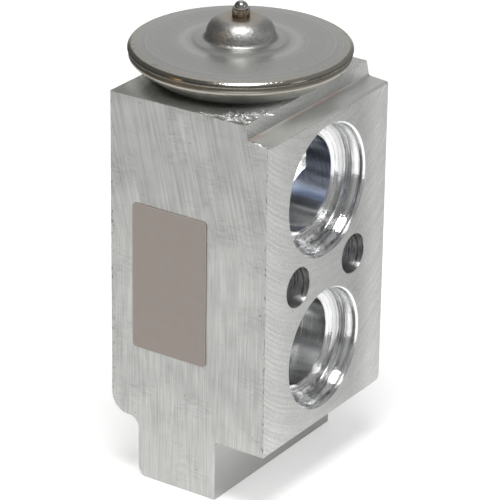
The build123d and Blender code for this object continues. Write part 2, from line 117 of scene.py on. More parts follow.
# Power element: the dome and the collar round it, the plain ring and the fall beyond it, the edge
# that is warmer and more pitted, the housing's lip and the rolled rim
dome_r = 5.6
dome_low_z = lid_low.z + 1.9
speckle_low_z = lid_low.z + 3.2
speckle_high_z = lid_low.z + 5.2
collar_r = 7.4
collar_low_z = lid_low.z + 1.3
plain_r = 10.8
fall_r = 15.2
edge_start_r = rim_r - 1.6
edge_full_r = rim_r - 0.6
# Painted shade on the housing's lip grows from this radius
lip_start_r = rim_r - 0.9
roll_start_r = rim_r - 0.7
roll_full_r = rim_r - 0.4
roll_top_z = lid_low.z + 0.75
# Painted shade on the lid's side fades out between these heights
lid_side_z = lid_low.z + 0.3
lid_side_top_z = lid_low.z + 0.6
lean_start_r = rim_r - 0.75
roll_lean = 0.78
roll_rise = 0.6
lid_scratch_place = (-12.9, 1.4)
lid_mark_depth = 0.006

# Superheat spring: the widest gap between points of its mesh that are one point
weld_gap = 0.0002

# How far past the edge of what it covers a mask reaches, or stops short of it
sliver = 0.02
hair = 0.05
margin = 0.1

# Shares of a normal along an axis: a face square to the axis has more than the first, and the wall
# of a hole along the axis has less than the second
square_on = 0.9
hole_wall = 0.7

# A quarter turn spreads a reflection across the tool marks
quarter_turn = 0.25

# Camera, solved from the photograph's perspective
camera_place = Vector((258.7, -383.7, 246.1)) * MM
camera_azimuth = math.radians(33.749)
camera_elevation = math.radians(24.378)
camera_roll = math.radians(0.792)
camera_lens = 223.03
sensor_width = 36.0
away_direction = Vector((-math.sin(camera_azimuth), math.cos(camera_azimuth), 0.0))
right_direction = Vector((math.cos(camera_azimuth), math.sin(camera_azimuth), 0.0))

# Table and studio, in metres
table_half = 0.22
table_z = -0.00002
table_glow = 0.45
backdrop_level = 0.72
left_level = 0.14
right_level = 0.32
front_level = 0.38
lamp_distance = 1.1
lamp_aim = Vector((0, 0, 0.04))

# Colours, linear
aluminium = (0.47, 0.475, 0.46)
turned_aluminium = (0.84, 0.845, 0.85)
# Bright metal of the bowl, also the painted bright reflection low in the suction passage
bright_metal_and_reflection = (0.96, 0.97, 0.98)
# Painted blue-grey reflection in the suction passage
reflected_blue_grey = (0.44, 0.50, 0.64)
torn_metal = (0.85, 0.86, 0.86)
# Painted blue reflection band in the suction passage
reflected_band_blue = (0.22, 0.34, 0.66)
stainless = (0.50, 0.50, 0.485)
warm_stainless = (0.60, 0.55, 0.44)
sheet_steel = (0.66, 0.66, 0.65)
pad_aluminium = (0.75, 0.75, 0.75)
ground_steel = (0.62, 0.62, 0.61)
wire_steel = (0.48, 0.48, 0.46)
heat_tint = (0.40, 0.30, 0.19)
stain_brown = (0.42, 0.27, 0.22)
bronze = (0.34, 0.29, 0.22)
dark_bronze = (0.14, 0.10, 0.07)
chrome = (0.55, 0.54, 0.53)
brass = (0.74, 0.60, 0.33)
dull_brass = (0.70, 0.57, 0.33)
taupe = (0.305, 0.270, 0.246)
rubber_green = (0.02, 0.05, 0.03)
pale_rubber_green = (0.045, 0.09, 0.06)
table_grey = (0.8, 0.8, 0.8)
white = (1.0, 1.0, 1.0)
lamp_orange = (1.0, 0.55, 0.2)


class Nodes:
    """Builds the node tree of a material or a world. Most methods return an output socket."""

    def __init__(self, holder):
        holder.use_nodes = True
        self.tree = holder.node_tree
        self.tree.nodes.clear()

    def feed(self, socket, value):
        """Links a socket to a socket, or sets its value."""
        if isinstance(value, bpy.types.NodeSocket):
            self.tree.links.new(value, socket)
        elif isinstance(value, (tuple, list)) and socket.type == "RGBA":
            socket.default_value = (*value, 1.0)
        else:
            socket.default_value = value

    def node(self, kind, **settings):
        made = self.tree.nodes.new(kind)
        for key, value in settings.items():
            setattr(made, key, value)
        return made

    def math(self, operation, first, second=0.0):
        made = self.node("ShaderNodeMath", operation=operation)
        self.feed(made.inputs[0], first)
        self.feed(made.inputs[1], second)
        return made.outputs[0]

    def add(self, first, *others):
        for other in others:
            first = self.math("ADD", first, other)
        return first

    def minus(self, first, second):
        return self.math("SUBTRACT", first, second)

    def times(self, first, *others):
        for other in others:
            first = self.math("MULTIPLY", first, other)
        return first

    def over(self, first, second):
        return self.math("DIVIDE", first, second)

    def less(self, first, second):
        return self.math("LESS_THAN", first, second)

    def more(self, first, second):
        return self.math("GREATER_THAN", first, second)

    def most(self, first, *others):
        for other in others:
            first = self.math("MAXIMUM", first, other)
        return first

    def least(self, first, *others):
        for other in others:
            first = self.math("MINIMUM", first, other)
        return first

    def without(self, mask):
        """1 where a mask is 0, and 0 where it is 1."""
        return self.minus(1.0, mask)

    def size(self, value):
        return self.math("ABSOLUTE", value)

    def hypot(self, first, second):
        squares = self.add(self.times(first, first), self.times(second, second))
        return self.math("SQRT", squares)

    def split(self, vector):
        made = self.node("ShaderNodeSeparateXYZ")
        self.feed(made.inputs[0], vector)
        return made.outputs[0], made.outputs[1], made.outputs[2]

    def dot(self, vector, direction):
        """How far a vector points in a direction, from -1 to 1."""
        made = self.node("ShaderNodeVectorMath", operation="DOT_PRODUCT")
        self.feed(made.inputs[0], vector)
        self.feed(made.inputs[1], direction)
        return made.outputs["Value"]

    def ramp(self, value, low, high, to_low=0.0, to_high=1.0, curve="LINEAR"):
        """A value that goes from low to high, turned into one that goes from to_low to to_high."""
        made = self.node("ShaderNodeMapRange", clamp=True, interpolation_type=curve)
        for key, item in (("Value", value), ("From Min", low), ("From Max", high),
                          ("To Min", to_low), ("To Max", to_high)):
            self.feed(made.inputs[key], item)
        return made.outputs[0]

    def soft_ramp(self, value, low, high, to_low=0.0, to_high=1.0):
        return self.ramp(value, low, high, to_low, to_high, curve="SMOOTHSTEP")

    def blend(self, factor, first, second):
        made = self.node("ShaderNodeMix", data_type="FLOAT")
        self.feed(made.inputs[0], factor)
        self.feed(made.inputs[2], first)
        self.feed(made.inputs[3], second)
        return made.outputs[0]

    def mix_shaders(self, factor, first, second):
        made = self.node("ShaderNodeMixShader")
        for socket, value in zip(made.inputs, (factor, first, second)):
            self.feed(socket, value)
        return made.outputs[0]


class Paint(Nodes):
    """A new material, with the point and the normal that its marks are worked out from."""

    def __init__(self, name, metallic=1.0):
        self.material = bpy.data.materials.new(name)
        super().__init__(self.material)
        output = self.node("ShaderNodeOutputMaterial")
        self.surface = self.node("ShaderNodeBsdfPrincipled")
        self.surface.inputs["Metallic"].default_value = metallic
        self.feed(output.inputs[0], self.surface.outputs[0])
        place = self.node("ShaderNodeTexCoord")
        self.point = self.scale(place.outputs["Object"], 1 / MM)
        self.x, self.y, self.z = self.split(self.point)
        self.nx, self.ny, self.nz = self.split(place.outputs["Normal"])

    def scale(self, vector, factor):
        made = self.node("ShaderNodeVectorMath", operation="SCALE")
        self.feed(made.inputs[0], vector)
        made.inputs["Scale"].default_value = factor
        return made.outputs[0]

    def vector(self, x, y, z):
        made = self.node("ShaderNodeCombineXYZ")
        for socket, value in zip(made.inputs, (x, y, z)):
            self.feed(socket, value)
        return made.outputs[0]

    def noise(self, vector, scale=1.0, detail=2.0, rough=0.5):
        made = self.node("ShaderNodeTexNoise")
        self.feed(made.inputs["Vector"], vector)
        made.inputs["Scale"].default_value = scale
        made.inputs["Detail"].default_value = detail
        made.inputs["Roughness"].default_value = rough
        return made.outputs[0]

    def streaks(self, across, along, width, length, detail=3.0, offset=0.0):
        """Noise stretched into strokes, width wide and length long."""
        point = self.vector(self.times(across, 1 / width), self.times(along, 1 / length), offset)
        return self.noise(point, detail=detail, rough=0.6)

    def lines(self, across, width, detail=3.0, offset=0.0):
        """Noise that changes in one direction only."""
        return self.streaks(across, 0.0, width, 1.0, detail=detail, offset=offset)

    def swing(self, value, reach, spread=0.2):
        """A noise value turned into a change of plus or minus reach."""
        return self.ramp(value, 0.5 - spread, 0.5 + spread, -reach, reach)

    def line_at(self, value, place, half_width):
        """1 on a thin line where a value passes a place, falling to 0 beside it."""
        return self.ramp(self.size(self.minus(value, place)), 0.0, half_width, 1.0, 0.0)

    def changed(self, tone, *changes):
        """A tone made lighter or darker by each change in turn."""
        for change in changes:
            tone = self.times(tone, self.add(1.0, change))
        return tone

    def tint(self, factor, first, second):
        made = self.node("ShaderNodeMix", data_type="RGBA")
        self.feed(made.inputs[0], factor)
        self.feed(made.inputs[6], first)
        self.feed(made.inputs[7], second)
        return made.outputs[2]

    def shade(self, colour, tone):
        """A colour made lighter or darker by a tone near 1."""
        made = self.node("ShaderNodeMix", data_type="RGBA", blend_type="MULTIPLY")
        made.inputs[0].default_value = 1.0
        self.feed(made.inputs[6], colour)
        grey = self.node("ShaderNodeCombineColor")
        for socket in grey.inputs[:3]:
            self.feed(socket, tone)
        self.feed(made.inputs[7], grey.outputs[0])
        return made.outputs[2]

    def soft_edges(self, radius):
        """The surface's normal, rounded over at sharp edges."""
        made = self.node("ShaderNodeBevel", samples=6)
        made.inputs["Radius"].default_value = radius * MM
        return made.outputs[0]

    def bump(self, height, depth, normal=None):
        """Bump from a height of 0 to 1 that stands for a depth in millimetres."""
        made = self.node("ShaderNodeBump")
        made.inputs["Strength"].default_value = 1.0
        made.inputs["Distance"].default_value = depth * MM
        self.feed(made.inputs["Height"], height)
        if normal is not None:
            self.feed(made.inputs["Normal"], normal)
        return made.outputs[0]

    def finish(self, colour, roughness, normal, anisotropy=0.0, marks=None):
        """Sets the surface; its reflections spread across the tool marks."""
        self.feed(self.surface.inputs["Base Color"], colour)
        self.feed(self.surface.inputs["Roughness"], roughness)
        self.feed(self.surface.inputs["Normal"], normal)
        if marks is not None:
            self.surface.inputs["Anisotropic"].default_value = anisotropy
            self.surface.inputs["Anisotropic Rotation"].default_value = quarter_turn
            self.feed(self.surface.inputs["Tangent"], marks)
        return self.material


def block_places(p):
    """Masks of 0 to 1 for the kinds of surface on the block, and the noises that these share."""
    in_front = p.more(p.x, 0.0)
    at_back = p.less(p.x, 0.0)
    between_faces = p.times(p.less(p.x, front_x - sliver), p.more(p.x, back_x + sliver))
    suction_r = p.hypot(p.y, p.minus(p.z, suction_z))
    inlet_r = p.hypot(p.y, p.minus(p.z, inlet_z))
    outlet_r = p.hypot(p.y, p.minus(p.z, outlet_z))
    in_suction = p.times(p.less(suction_r, suction_mouth_r + margin), between_faces)
    in_inlet = p.times(p.less(inlet_r, inlet_mouth_r + margin), between_faces, in_front)
    in_outlet = p.times(p.less(outlet_r, outlet_mouth_r + margin), between_faces, at_back)
    turned = p.most(in_suction, in_inlet, in_outlet)
    passage = p.times(in_suction, p.less(suction_r, suction_bore_r + hair))
    inlet_bore = p.times(p.less(inlet_r, inlet_bore_r), between_faces, in_front)
    lower_port_z = p.blend(in_front, outlet_z, inlet_z)

    from_axis = p.hypot(p.x, p.y)
    bowl = p.times(p.less(from_axis, bowl_r + margin), p.more(suction_r, suction_bore_r + hair),
                   p.more(p.z, suction_z - suction_bore_r + hair), p.less(p.z, block_top - margin))
    from_bolt = p.hypot(p.minus(p.size(p.y), bolt_y), p.minus(p.z, bolt_z))
    drilled = p.times(p.less(from_bolt, bolt_r + hair), p.less(p.size(p.nx), hole_wall))

    sawn = p.more(p.size(p.ny), square_on)
    milled = p.times(p.more(p.size(p.nx), square_on), p.without(turned),
                     p.more(p.size(p.x), -back_x - sliver))
    plain = p.without(p.most(sawn, milled, turned, drilled))
    top = p.more(p.z, block_top - hair)
    return SimpleNamespace(
        turned=turned, passage=passage, inlet_bore=inlet_bore, bowl=bowl, drilled=drilled,
        shallow=p.without(p.most(passage, inlet_bore)),
        port_z=p.blend(p.more(p.z, bolt_z), lower_port_z, suction_z),
        sawn=sawn, milled=milled, plain=plain, top=top,
        under_rim=p.times(top, p.ramp(from_axis, under_rim_r, open_top_r, 1.0, 0.0)),
        notch=p.times(plain, p.more(p.x, notch_top_x - 0.2), p.more(p.z, notch_lip_z - 1.0)),
        foot_front=p.times(p.less(p.z, block_low.z + foot_height), p.more(p.nx, square_on)),
        patches=p.noise(p.point, scale=0.5, detail=2.0),
        cloud=p.noise(p.point, scale=0.25, detail=4.0),
        grit=p.noise(p.point, scale=3.0, detail=3.0))


# Each of the next five functions gives a tone, a height and the direction of the tool marks

def sawn_marks(p):
    """Brushed strokes on the sawn sides: upright below, leaning in the upper part."""
    leaning_x = p.add(p.times(p.x, math.cos(lean_angle)), p.times(p.z, math.sin(lean_angle)))
    leaning_z = p.minus(p.times(p.z, math.cos(lean_angle)), p.times(p.x, math.sin(lean_angle)))
    wander = p.times(p.noise(p.point, scale=0.12, detail=1.0), lean_blend)
    lean_share = p.ramp(p.add(p.z, wander), lean_from_z, lean_from_z + lean_blend)
    strokes = p.blend(lean_share, p.streaks(p.x, p.z, 0.28, 9.0, detail=5.0),
                      p.streaks(leaning_x, leaning_z, 0.32, 14.0, detail=5.0, offset=7.0))
    broad = p.blend(lean_share, p.streaks(p.x, p.z, 1.6, 16.0, offset=3.0),
                    p.streaks(leaning_x, leaning_z, 1.8, 20.0, offset=5.0))
    mottle = p.noise(p.point, scale=0.22, detail=3.0)
    rubbed = p.streaks(p.z, p.x, 0.40, 2.4, detail=4.0, offset=11.0)
    rub_patch = p.ramp(p.noise(p.point, scale=0.20, detail=3.0), 0.50, 0.64)
    scuffs = p.times(rub_patch, p.ramp(rubbed, 0.35, 0.65, -0.16, 0.06))
    paler_low = p.ramp(p.z, 4.0, 20.0, 0.14, -0.02)
    tone = p.add(p.swing(strokes, 0.19), p.swing(broad, 0.06), p.swing(mottle, 0.06), paler_low, scuffs)
    return tone, strokes, p.vector(p.times(lean_share, -math.sin(lean_angle)), 0.0, 1.0)


def milled_marks(p, on):
    """Face-milling arcs on the port faces, and long fine scratches."""
    sweep = p.math("SQRT", p.minus(mill_r * mill_r, p.times(p.y, p.y)))
    arc = p.add(p.z, sweep)
    arcs = p.streaks(arc, p.y, 0.35, 40.0, detail=4.0, offset=2.0)
    ripples = p.streaks(arc, p.y, 0.5, 9.0, detail=2.0, offset=13.0)
    wide_arcs = p.streaks(arc, p.y, 2.2, 60.0, offset=9.0)
    feed_lines = p.math("SINE", p.times(p.add(arc, p.times(on.patches, 0.6)), math.tau / feed_step))
    left_strip = p.ramp(p.y, -15.5, -9.0, 1.0, 0.0)
    across = p.minus(p.times(p.y, scratch_way[1]), p.times(p.z, scratch_way[0]))
    along = p.add(p.times(p.y, scratch_way[0]), p.times(p.z, scratch_way[1]))
    scratches = p.ramp(p.streaks(across, along, 0.2, 5.0, detail=4.0, offset=4.0), 0.56, 0.68)
    scratched_strip = p.ramp(p.y, 9.0, 16.5, 0.2, 1.0)
    paler_right = p.ramp(p.y, 9.0, 14.0, -0.02, 0.30)
    paler_left = p.ramp(p.y, -14.0, -9.0, 0.10, 0.0)
    paler_low = p.ramp(p.z, 12.0, 20.0, 0.10, 0.0)
    dark_lip = p.times(p.line_at(p.z, notch_lip_z, 0.3), -0.4)
    tone = p.add(p.swing(arcs, 0.07), p.swing(ripples, 0.07), p.swing(wide_arcs, 0.03),
                 p.swing(on.cloud, 0.05), p.swing(on.grit, 0.10), p.times(scratched_strip, scratches, 0.40),
                 p.times(feed_lines, left_strip, 0.07), dark_lip, paler_right, paler_left, paler_low)
    height = p.add(p.times(arcs, 0.5), p.times(on.grit, 0.3))
    return tone, height, p.vector(0.0, sweep, p.y)


def drawn_marks(p, on):
    """Extrusion lines along the notch, the foot and the underside, and wear on the top."""
    drawn = p.streaks(p.add(p.x, p.z), p.y, 0.3, 70.0, detail=3.0, offset=6.0)
    worn = p.times(on.top, p.add(p.swing(on.patches, 0.08), p.swing(on.grit, 0.14)))
    return p.add(p.swing(drawn, 0.05), worn), p.times(drawn, 0.3), p.vector(0.0, 1.0, 0.0)


def turned_marks(p, on):
    """Turning marks in the ports, with a rougher cut low in them."""
    below_centre = p.minus(on.port_z, p.z)
    rough_cut = p.times(p.ramp(below_centre, 4.5, 9.0), on.shallow)
    around_port = p.times(p.math("ARCTAN2", p.y, p.minus(p.z, on.port_z)), inlet_mouth_r)
    facets = p.streaks(p.x, around_port, 0.45, 1.8, detail=2.0, offset=31.0)
    grooves = p.lines(p.x, 0.25, detail=4.0, offset=8.0)
    fine_grooves = p.lines(p.x, 0.09, detail=2.0, offset=18.0)
    steps = p.ramp(p.lines(p.x, 0.55, detail=1.0, offset=21.0), 0.46, 0.54, -0.24, 0.16)
    chatter = p.noise(p.point, scale=1.1, detail=3.0, rough=0.7)
    tone = p.add(p.swing(grooves, 0.12), p.swing(fine_grooves, 0.22), p.times(steps, on.shallow),
                 p.times(p.swing(facets, 0.30, spread=0.1), rough_cut))
    cut_height = p.add(p.times(grooves, 1.6), p.times(chatter, on.shallow, 3.5))
    height = p.add(p.times(p.without(on.passage), cut_height), p.times(rough_cut, facets, 7.0))
    return tone, height, p.vector(0.0, below_centre, p.y)


def drilled_marks(p):
    """Helical marks of the drill in the bolt holes, with painted shade high in the holes and painted light
    low in them; the marks' strong swing of tone also paints glints.
    """
    helix = p.streaks(p.add(p.x, p.times(p.z, 0.15)), p.z, 0.40, 3.0, detail=4.0, offset=14.0)
    # Painted shade high in the bolt holes and painted light low in them
    paler_low = p.ramp(p.minus(p.z, bolt_z), -3.0, 0.5, 0.25, -0.35)
    bolt_side = p.blend(p.more(p.y, 0.0), -bolt_y, bolt_y)
    bolt_ring = p.vector(0.0, p.minus(bolt_z, p.z), p.minus(p.y, bolt_side))
    # The helix's strong swing of tone is partly real marks and partly painted glints
    return p.add(paler_low, p.swing(helix, 0.85)), p.times(helix, 7.0), bolt_ring


def block_wear(p, on):
    """Dark specks along the upright edges of the sawn sides, and a few pits."""
    front_edge = p.ramp(p.size(p.minus(p.x, front_x)), 0.15, 0.55, 1.0, 0.0)
    back_edge = p.ramp(p.size(p.minus(p.x, back_x)), 0.2, 0.8, 1.0, 0.0)
    speck_noise = p.streaks(p.x, p.z, 0.35, 0.9, detail=3.0, offset=12.0)
    specks = p.times(p.ramp(speck_noise, 0.56, 0.64), p.most(front_edge, back_edge), on.sawn)
    pit_noise = p.noise(p.point, scale=0.9, detail=2.0)
    pits = p.times(p.ramp(pit_noise, 0.745, 0.78), p.most(on.sawn, on.milled))
    return specks, pits


def block_shadows(p, on):
    """Painted light and shade on the block: changes of its tone from one part of it to another."""
    # Painted shade deep in the inlet's bore, with two painted bright reflection bands across it
    bore_level = p.minus(p.z, inlet_z)
    bore_bands = p.most(p.line_at(bore_level, 1.6, 1.3), p.line_at(bore_level, -5.2, 1.2))
    # Painted shade on the foot's front, darker to the right
    darker_right = p.ramp(p.y, -14.0, 8.0, 0.0, -0.26)
    # Painted light on the open top, paler towards the port face and darker towards the back
    open_top = p.times(on.top, p.without(on.under_rim))
    paler_front = p.ramp(p.x, -8.0, 12.0, -0.12, 0.55)
    # Painted light in the notch and on the top under the rim
    return (p.times(on.inlet_bore, p.minus(p.times(bore_bands, 0.75), 0.35)), p.times(on.notch, 1.05),
            on.under_rim, p.times(on.foot_front, darker_right), p.times(open_top, paler_front))


def block_colour(p, on):
    """Bare aluminium, with painted blue and bright reflections in the suction passage and a brown stain in
    the notch.
    """
    from_foot = p.hypot(p.minus(p.x, notch_foot.x), p.minus(p.z, notch_foot.z))
    stain = p.times(p.ramp(from_foot, 0.2, 0.6, 1.0, 0.0), on.plain,
                    p.ramp(p.noise(p.point, scale=0.2), 0.35, 0.6))
    below_axis = p.minus(suction_z, p.z)
    reflected_blue_band_mask = p.line_at(below_axis, 5.0, 1.6)
    # Bright lines low in the passage, a painted reflection
    low_reflection_lines = p.ramp(below_axis, 5.2, 6.6)
    colour = p.tint(p.most(on.turned, on.drilled), aluminium, turned_aluminium)
    # Painted reflections in the suction passage: blue-grey all over it, a blue band and bright lines low
    # down
    for share, shown in ((p.times(on.passage, 0.8), reflected_blue_grey),
                         (p.times(on.passage, reflected_blue_band_mask, 0.6), reflected_band_blue),
                         (p.times(on.passage, low_reflection_lines, 0.9), bright_metal_and_reflection),
                         (on.bowl, bright_metal_and_reflection),
                         (p.times(stain, 0.5), stain_brown)):
        colour = p.tint(share, colour, shown)
    return colour


def block_aluminium():
    """Extruded block: sawn and brushed sides, milled port faces, turned ports."""
    p = Paint("block_aluminium")
    on = block_places(p)
    tone = 1.0
    height = 0.0
    marks = p.vector(0.0, 1.0, 0.0)
    for mask, (change, relief, direction) in (
            (on.sawn, sawn_marks(p)), (on.milled, milled_marks(p, on)), (on.plain, drawn_marks(p, on)),
            (on.turned, turned_marks(p, on)), (on.drilled, drilled_marks(p))):
        tone = p.add(tone, p.times(mask, change))
        height = p.add(height, p.times(mask, relief))
        marks = p.tint(mask, marks, direction)
    marks = p.tint(on.bowl, marks, p.vector(p.times(p.y, -1.0), p.x, 0.0))

    specks, pits = block_wear(p, on)
    # Painted light and shade from block_shadows, then the dark specks and pits
    tone = p.changed(tone, *block_shadows(p, on), p.times(specks, -0.6), p.times(pits, -0.4))
    height = p.add(height, p.times(specks, -2.0), p.times(pits, -1.5))

    rough = 0.38
    for mask, level in ((on.turned, 0.21), (on.drilled, 0.30), (on.plain, 0.30),
                        (on.under_rim, 0.70), (on.notch, 0.42), (on.bowl, 0.22)):
        rough = p.blend(mask, rough, level)
    rough = p.add(rough, p.swing(on.cloud, 0.03))
    normal = p.bump(height, block_mark_depth, p.soft_edges(edge_softness))
    return p.finish(p.shade(block_colour(p, on), tone), rough, normal, anisotropy=0.9, marks=marks)


def shell_places(p):
    """Masks of 0 to 1 for the parts of the power element's shell, and noises that these share."""
    radius = p.hypot(p.x, p.y)
    raised = p.more(p.z, dome_low_z)
    below_lid = p.less(p.z, lid_low.z - margin)
    on_lid = p.without(below_lid)
    roll = p.ramp(radius, roll_start_r, roll_full_r)
    dome = p.times(raised, p.ramp(radius, dome_r, dome_r + 0.6, 1.0, 0.0))
    lines = p.add(p.line_at(radius, fall_r, 0.12), p.line_at(radius, plain_r, 0.10),
                  p.line_at(radius, fall_r + 1.2, 0.08), p.line_at(radius, collar_r + 0.9, 0.08))
    return SimpleNamespace(
        radius=radius, raised=raised, below_lid=below_lid, lid=on_lid, roll=roll, dome=dome, lines=lines,
        collar_step=p.more(p.z, collar_low_z),
        edge=p.ramp(radius, edge_start_r, edge_full_r),
        # The housing's lip under the rim, darkened by painted shade
        lip=p.times(below_lid, p.ramp(radius, lip_start_r, edge_full_r)),
        # The lid's side below the roll, darkened by painted shade
        lid_side=p.times(roll, on_lid, p.ramp(p.z, lid_side_z, lid_side_top_z, 1.0, 0.0)),
        speckled=p.times(dome, p.ramp(p.z, speckle_low_z, speckle_high_z, 1.0, 0.2)),
        rings=p.lines(p.add(radius, p.times(p.z, 0.6)), 0.22, detail=4.0, offset=1.0),
        satin=p.noise(p.point, scale=1.2, detail=4.0, rough=0.6),
        grain=p.noise(p.point, scale=2.2, detail=3.0, rough=0.7))


def shell_pits(p, on):
    """Small pits, most of them near the rolled edge and none on it."""
    closer = p.add(p.noise(p.point, scale=1.1, detail=3.0), p.times(on.edge, 0.05))
    share = p.add(0.15, p.times(on.edge, 0.85))
    return p.times(p.ramp(closer, 0.66, 0.70), share, p.without(on.roll))


def shell_scratches(p):
    """A patch of fine scratches on the left of the lid."""
    from_patch = p.hypot(p.minus(p.x, lid_scratch_place[0]), p.minus(p.y, lid_scratch_place[1]))
    strokes = p.streaks(p.minus(p.y, p.times(p.x, 0.67)), p.add(p.x, p.y), 0.16, 2.2, offset=3.0)
    return p.times(p.ramp(strokes, 0.60, 0.68), p.ramp(from_patch, 1.6, 3.0, 1.0, 0.0))


def shell_normal(p, on, height):
    """Normal of the shell, leant over the rolled edge and flattened on the collar's step."""
    fall = p.ramp(on.radius, lean_start_r, roll_full_r)
    over_roll = p.times(fall, roll_lean, p.most(p.nz, 0.0), on.lid)
    outward = p.over(p.add(p.times(p.nx, p.x), p.times(p.ny, p.y)), on.radius)
    on_step = p.times(p.line_at(on.radius, collar_r + 0.3, 0.7), on.collar_step, 1.6)
    flatter = p.times(outward, p.least(on_step, 0.75))
    lean = p.over(p.minus(over_roll, flatter), on.radius)
    up_side = p.ramp(p.z, lid_low.z, roll_top_z, 0.6, 1.0)
    rise = p.times(up_side, on.roll, roll_rise, on.lid)
    leant = p.vector(p.add(p.nx, p.times(p.x, lean)), p.add(p.ny, p.times(p.y, lean)), p.add(p.nz, rise))
    return p.bump(height, lid_mark_depth, leant)


def spun_steel(name, colour, rough=0.30):
    """Pressed stainless steel with fine rings round the valve axis, and painted light and shade: lighter
    under the lid and on the dome, darker on the housing's lip and the lid's side, and a painted reflection
    of the dome's foot.
    """
    p = Paint(name)
    on = shell_places(p)
    pits = shell_pits(p, on)
    wide_rings = p.lines(on.radius, 1.7, offset=5.0)
    stipple = p.times(p.noise(p.point, scale=3.5, detail=2.0), p.line_at(on.radius, dome_r - 0.2, 0.8),
                      on.raised)
    # Painted light lifts the housing under the lid and the dome; painted shade darkens the housing's lip
    # and the lid's side
    tone = p.add(1.0, p.swing(on.rings, 0.06), p.swing(wide_rings, 0.04), p.swing(on.satin, 0.04),
                 p.times(on.lines, 0.24), p.times(on.below_lid, 0.5), p.times(on.lip, -0.6),
                 p.times(on.lid_side, -0.55), p.times(on.dome, 0.08),
                 p.times(on.speckled, p.swing(on.grain, 0.25)),
                 # A lighter ring inside the plain ring is a painted reflection of the dome's foot
                 p.times(p.line_at(on.radius, plain_r - 1.6, 1.4), 0.22), p.times(shell_scratches(p), 0.5))
    tone = p.changed(tone, p.times(pits, -0.55))
    burnt = p.times(p.ramp(on.radius, 2.0, 4.5, 0.55, 0.0), on.raised)
    shown = p.tint(burnt, p.tint(p.times(on.edge, 0.5), colour, warm_stainless), heat_tint)
    height = p.add(p.times(on.rings, 0.25), p.times(on.satin, 0.2), p.times(stipple, 1.6),
                   p.times(on.speckled, on.grain, 28.0), p.times(on.lines, 0.5), p.times(pits, -1.2),
                   p.times(on.roll, on.satin, 1.5))
    roughness = p.add(p.blend(on.roll, rough, rough * 0.6), p.swing(on.satin, 0.03),
                      p.times(p.line_at(on.radius, collar_r + 0.4, 1.2), 0.10),
                      p.times(on.lip, 0.22), p.times(on.dome, 0.08))
    around = p.vector(p.times(p.y, -1.0), p.x, 0.0)
    return p.finish(p.shade(shown, tone), roughness, shell_normal(p, on, height),
                    anisotropy=0.25, marks=around)


def machined_metal(name, colour, rough=0.25, ring_width=0.2, depth=0.006):
    """Turned or ground metal for the small inner pieces."""
    p = Paint(name)
    rings = p.lines(p.add(p.hypot(p.x, p.y), p.z), ring_width, detail=4.0)
    cloud = p.noise(p.point, scale=0.6, detail=4.0)
    tone = p.add(1.0, p.swing(rings, 0.06), p.swing(cloud, 0.07))
    roughness = p.add(rough, p.swing(cloud, 0.05))
    return p.finish(p.shade(colour, tone), roughness, p.bump(rings, depth))


def dull_bronze():
    """Brazed cup of the charge stub, browned by the heat."""
    p = Paint("bronze")
    cloud = p.noise(p.point, scale=1.4, detail=4.0, rough=0.6)
    colour = p.tint(p.ramp(cloud, 0.4, 0.65), bronze, dark_bronze)
    grain = p.noise(p.point, scale=9.0, detail=3.0)
    return p.finish(colour, p.ramp(cloud, 0.3, 0.7, 0.12, 0.28), p.bump(grain, 0.012))


def drawn_wire():
    """Spring steel, drawn and oiled."""
    p = Paint("spring_steel")
    cloud = p.noise(p.point, scale=1.8, detail=4.0)
    tone = p.ramp(cloud, 0.3, 0.7, 0.75, 1.05)
    return p.finish(p.shade(wire_steel, tone), p.ramp(cloud, 0.3, 0.7, 0.3, 0.42),
                    p.bump(p.noise(p.point, scale=6.0), 0.004))


def seal_rubber():
    """Matt green rubber of the O-rings."""
    p = Paint("seal_rubber", metallic=0.0)
    cloud = p.noise(p.point, scale=1.5, detail=4.0)
    colour = p.tint(cloud, rubber_green, pale_rubber_green)
    return p.finish(colour, p.ramp(cloud, 0.3, 0.7, 0.5, 0.65), p.bump(p.noise(p.point, scale=7.0), 0.01))


def label_film():
    """Plain matt film with a faint mottle and a paler cut edge."""
    p = Paint("label_film", metallic=0.0)
    low, high = corners("blank_label")
    cloud = p.noise(p.point, scale=0.5, detail=4.0)
    fibre = p.noise(p.point, scale=5.0, detail=3.0)
    to_edge = p.least(p.minus(p.x, low.x), p.minus(high.x, p.x), p.minus(p.z, low.z), p.minus(high.z, p.z))
    cut_edge = p.ramp(to_edge, 0.05, 0.25, 1.0, 0.0)
    tone = p.add(1.0, p.swing(cloud, 0.025), p.swing(fibre, 0.02), p.times(cut_edge, 0.12))
    p.surface.inputs["Specular IOR Level"].default_value = 0.25
    return p.finish(p.shade(taupe, tone), p.ramp(cloud, 0.3, 0.7, 0.52, 0.62), p.bump(fibre, 0.006))


def torn_aluminium(name, darkest, lightest):
    """Torn and crumpled metal of burrs and dents."""
    p = Paint(name)
    cloud = p.noise(p.point, scale=2.5, detail=4.0, rough=0.7)
    colour = p.shade(torn_metal, p.ramp(cloud, 0.35, 0.65, darkest, lightest))
    return p.finish(colour, p.ramp(cloud, 0.3, 0.7, 0.22, 0.42), p.bump(cloud, 0.08))


